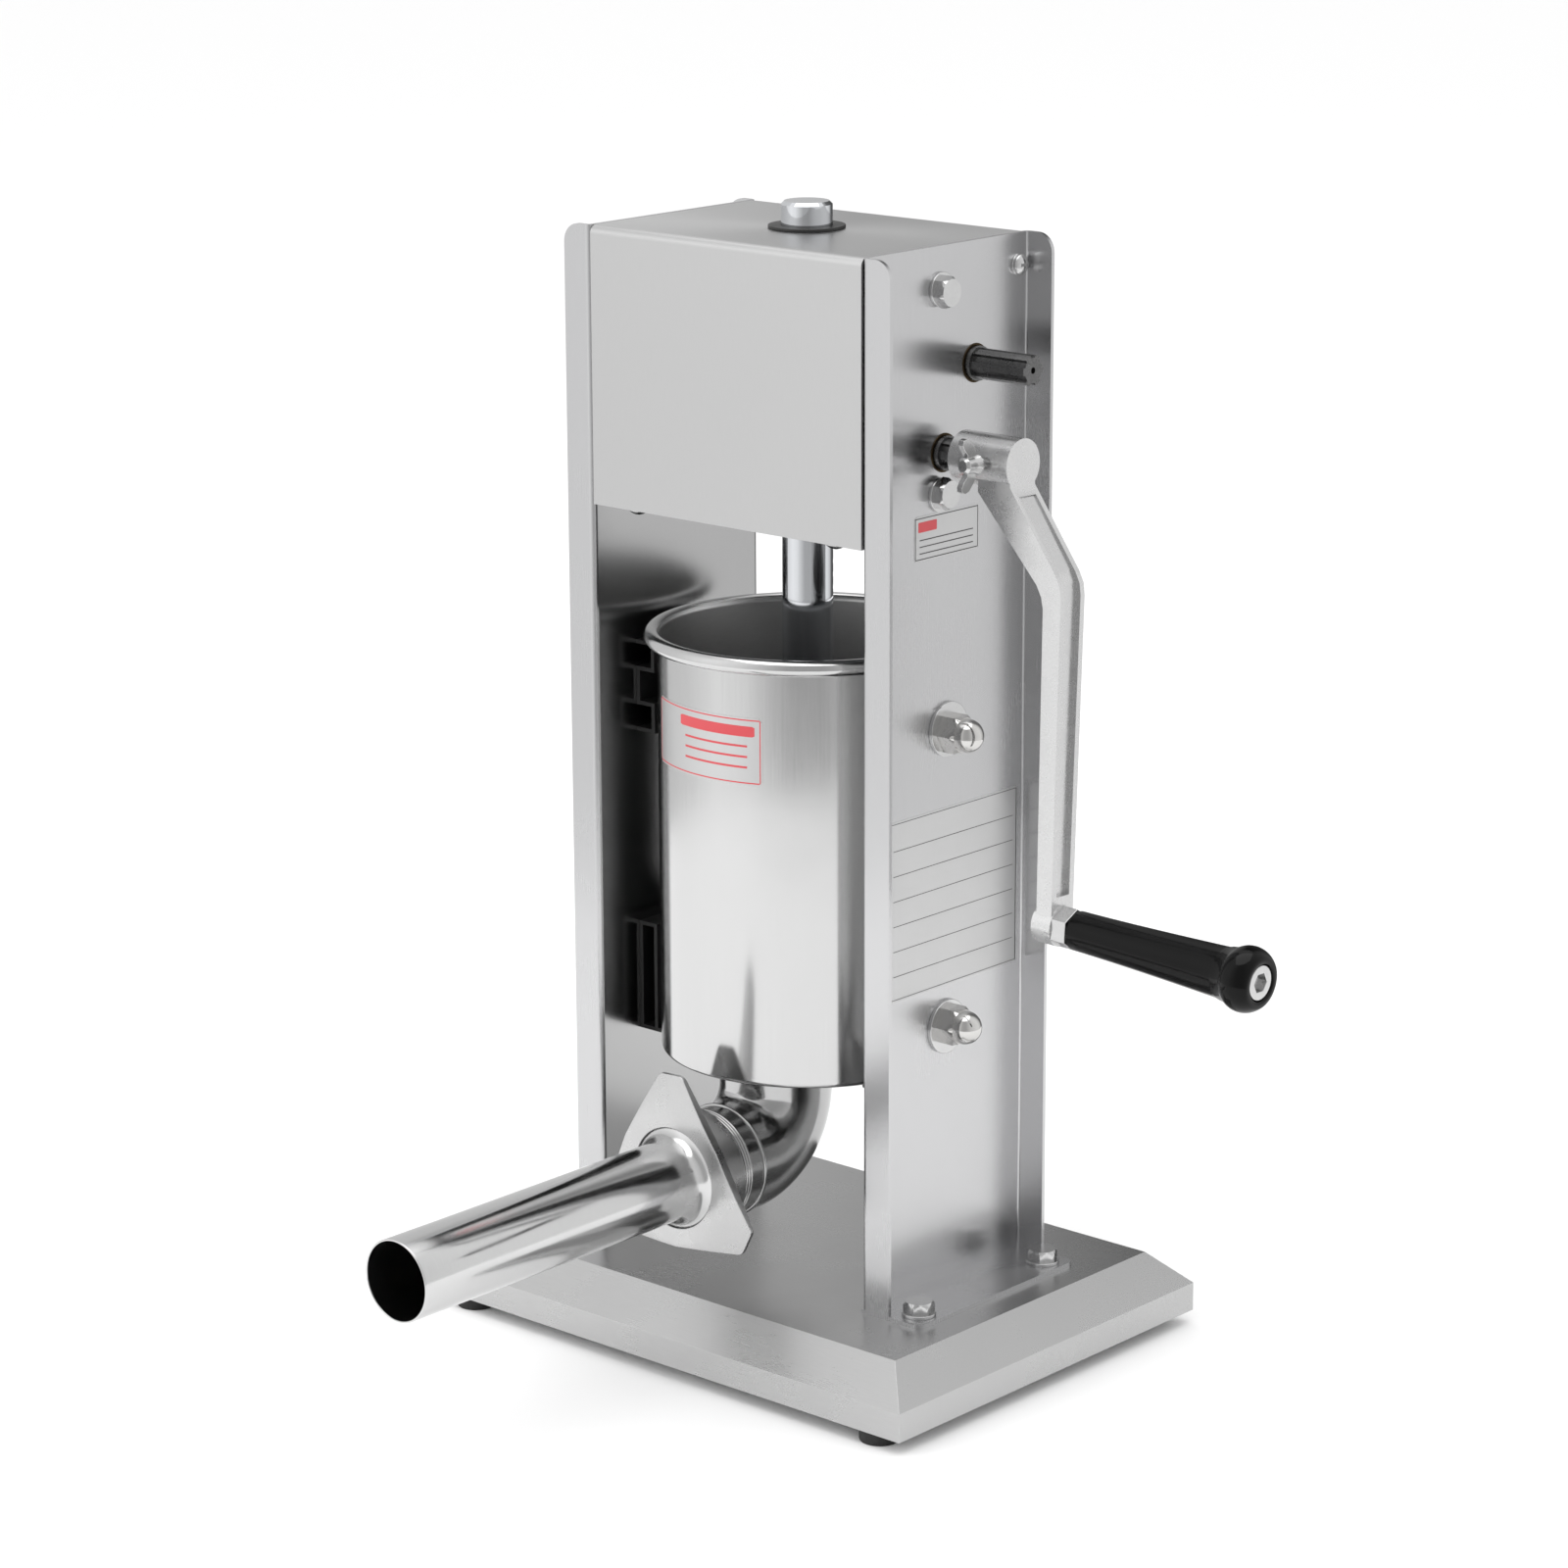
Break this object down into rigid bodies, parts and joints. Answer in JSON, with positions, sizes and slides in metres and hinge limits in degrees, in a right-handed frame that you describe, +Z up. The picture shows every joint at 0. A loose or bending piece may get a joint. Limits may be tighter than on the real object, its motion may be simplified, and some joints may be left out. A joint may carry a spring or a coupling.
{
  "type": "sausage stuffer",
  "caption": "Upright stainless sausage stuffer: a hand crank and gears drive a racked piston rod down a removable barrel that feeds a bottom elbow and a long stuffing nozzle.",
  "frame": {"origin": "on the table plane, at the centre of the rectangle of the four feet, straight below the rack rod's axis", "axes": "+Z up along the rack rod, -Y forward along the nozzle, +X to the crank side"},
  "size_m": [0.4241, 0.3875, 0.544],
  "materials": {
    "base_steel": "satin brushed stainless sheet",
    "column_steel": "brushed stainless sheet, half bright",
    "cover_steel": "fine satin stainless sheet",
    "barrel_steel": "polished stainless with faint drawn streaks",
    "outlet_steel": "polished stainless tube",
    "nozzle_steel": "bright spun stainless",
    "nut_steel": "satin cast stainless",
    "rod_chrome": "hard chrome",
    "crank_iron": "bright plated cast iron",
    "grip_black": "glossy black moulding",
    "bolt_zinc": "bright zinc plated",
    "acorn_nickel": "bright nickel plated",
    "shaft_dark": "oiled dark steel",
    "gear_steel": "oiled cut steel",
    "bush_bronze": "oiled bronze",
    "frame_steel": "grey primer on welded plate",
    "piston_alloy": "turned aluminium",
    "seal_rubber": "matt food grade rubber",
    "gasket_white": "white ring",
    "feet_rubber": "matt black rubber",
    "guide_black": "black low friction plastic",
    "spring_steel": "bright spring wire"
  },
  "bodies": {
    "stand": {"base_pan": "base_steel", "rubber_feet": "feet_rubber", "foot_studs": "bolt_zinc", "foot_nuts": "bolt_zinc", "left_column": "column_steel", "right_column": "column_steel", "column_bolts": "bolt_zinc", "column_washers": "bolt_zinc", "column_nuts": "bolt_zinc", "gearbox_cover": "cover_steel", "cover_screws": "bolt_zinc", "web_screws": "bolt_zinc", "web_screw_washers": "bolt_zinc", "web_screw_nuts": "bolt_zinc", "gear_frame": "frame_steel", "bearing_plate": "frame_steel", "plate_pillars": "gear_steel", "pillar_screws": "bolt_zinc", "frame_bolts": "bolt_zinc", "frame_washers": "bolt_zinc", "frame_nuts": "bolt_zinc", "top_rod_guide": "guide_black", "lower_rod_guide": "guide_black", "fast_shaft_bushes": "bush_bronze", "slow_shaft_bushes": "bush_bronze", "barrel": "barrel_steel", "barrel_floor": "barrel_steel", "outlet_elbow": "outlet_steel", "thread_collar": "outlet_steel", "outlet_gasket": "gasket_white", "upper_cradles": "column_steel", "lower_cradles": "column_steel", "cradle_studs": "bolt_zinc", "cradle_washers": "bolt_zinc", "acorn_nuts": "acorn_nickel"},
    "rack": {"rack_rod": "rod_chrome", "piston": "piston_alloy", "piston_seal": "seal_rubber", "piston_nut": "bolt_zinc", "valve_spring": "spring_steel"},
    "valve": {"air_valve": "bolt_zinc"},
    "fast_drive": {"fast_shaft": "shaft_dark", "large_gear": "gear_steel", "gear_key": "gear_steel", "retaining_rings": "shaft_dark"},
    "crank": {"slow_shaft": "shaft_dark", "crank_arm": "crank_iron", "grip_bolt": "bolt_zinc", "grip_nut": "bolt_zinc"},
    "grip": {"grip": "grip_black"},
    "wing_screw": {"wing_screw": "bolt_zinc"},
    "nozzle": {"nozzle": "nozzle_steel"},
    "ring_nut": {"ring_nut": "nut_steel"}
  },
  "joints": [
    {"name": "crank_spin", "type": "hinge", "parent": "stand", "child": "crank", "pos_m": [0, -0.003, 0.43701], "axis": [1, 0, 0], "range_deg": [0, 3445]},
    {"name": "rack_slide", "type": "slide", "parent": "stand", "child": "rack", "axis": [0, 0, 1], "range_m": [0, 0.205]},
    {"name": "fast_shaft_spin", "type": "hinge", "parent": "stand", "child": "fast_drive", "pos_m": [0, 0.019, 0.4754], "axis": [1, 0, 0], "range_deg": [-1175, 0]},
    {"name": "grip_spin", "type": "hinge", "parent": "crank", "child": "grip", "pos_m": [0.1615, -0.01024, 0.22963], "axis": [0.9991, -0.0015, -0.0418], "continuous": true},
    {"name": "wing_screw_turn", "type": "hinge", "parent": "crank", "child": "wing_screw", "pos_m": [0.1155, -0.003, 0.43701], "axis": [0, -0.9994, 0.0349], "range_deg": [0, 360]},
    {"name": "nut_spin", "type": "hinge", "parent": "nozzle", "child": "ring_nut", "pos_m": [0, -0.093, 0.0946], "axis": [0, -1, 0], "range_deg": [0, 1080]},
    {"name": "nozzle_slide", "type": "slide", "parent": "stand", "child": "nozzle", "axis": [0, -1, 0], "range_m": [0, 0.009]},
    {"name": "valve_slide", "type": "slide", "parent": "rack", "child": "valve", "axis": [0, 0, -1], "range_m": [0, 0.002], "stiffness_N_per_m": 400, "springref_m": -0.003, "deforming": ["valve_spring"]}
  ],
  "couplings": [
    {"joint": "rack_slide", "follows": "crank_spin", "m_per_rad": 0.0034091},
    {"joint": "fast_shaft_spin", "follows": "crank_spin", "ratio": -0.34091},
    {"joint": "nozzle_slide", "follows": "nut_spin", "m_per_rad": 0.00047746}
  ]
}
